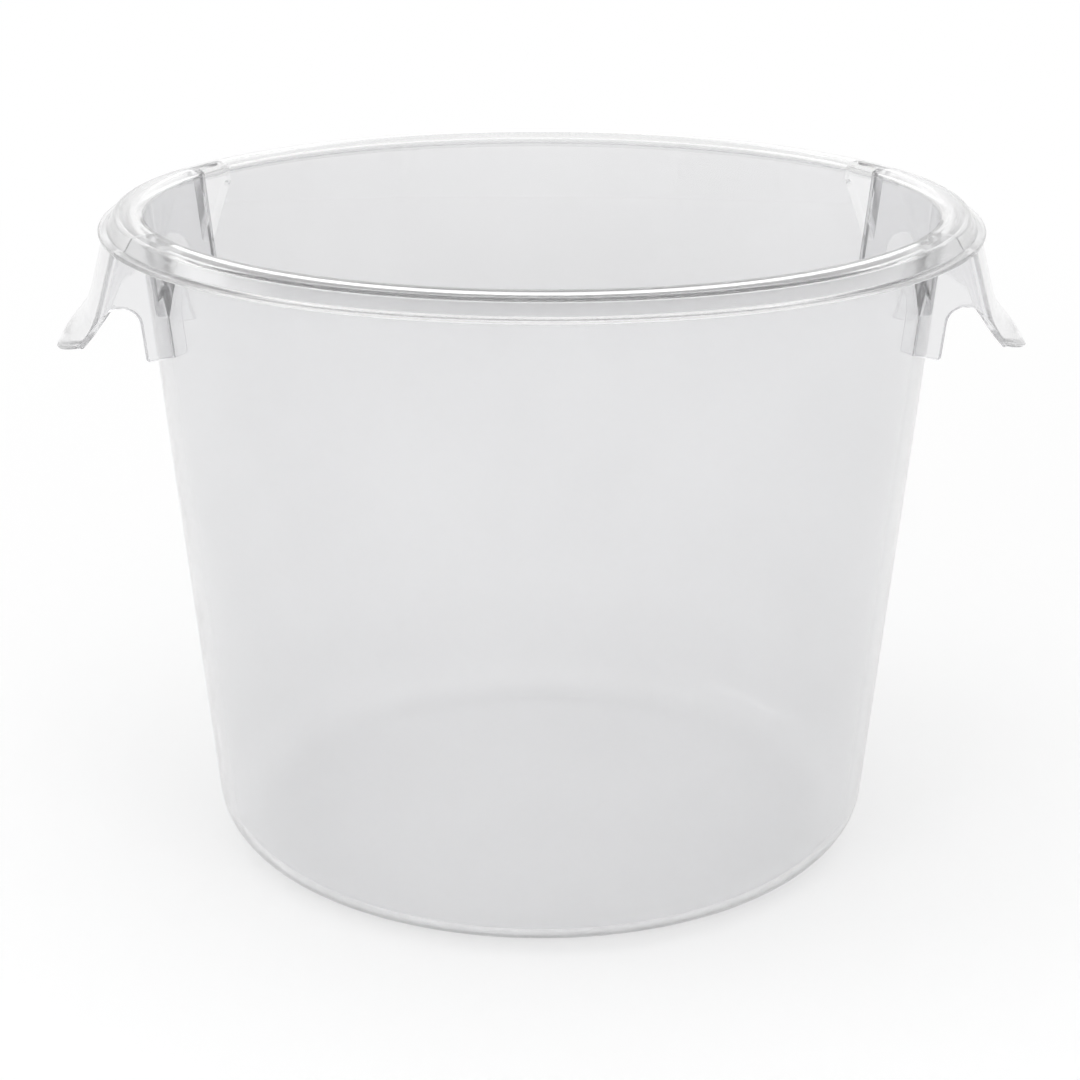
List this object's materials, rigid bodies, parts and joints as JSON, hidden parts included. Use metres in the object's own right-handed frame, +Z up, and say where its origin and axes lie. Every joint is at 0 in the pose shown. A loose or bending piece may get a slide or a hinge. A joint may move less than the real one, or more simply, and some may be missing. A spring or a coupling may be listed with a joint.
{
  "type": "dough proofing container",
  "caption": "Round, clear plastic dough proofing tub with tapered wall, rounded base corner, hollow turned-over rim and two flared side handles, without a lid",
  "frame": {"origin": "middle of the flat foot, on the surface the tub stands on", "axes": "+Z up, handles on the X axis, +X to the right handle, -Y towards the viewer"},
  "size_m": [0.2808, 0.254, 0.193],
  "materials": {
    "clear_plastic": "clear moulded plastic, gloss with a light haze"
  },
  "bodies": {
    "root": {"floor": "clear_plastic", "base_corner": "clear_plastic", "side_wall": "clear_plastic", "rim": "clear_plastic", "left_grip": "clear_plastic", "left_front_web": "clear_plastic", "left_rear_web": "clear_plastic", "left_front_gusset": "clear_plastic", "left_rear_gusset": "clear_plastic", "right_grip": "clear_plastic", "right_front_web": "clear_plastic", "right_rear_web": "clear_plastic", "right_front_gusset": "clear_plastic", "right_rear_gusset": "clear_plastic"}
  },
  "joints": []
}
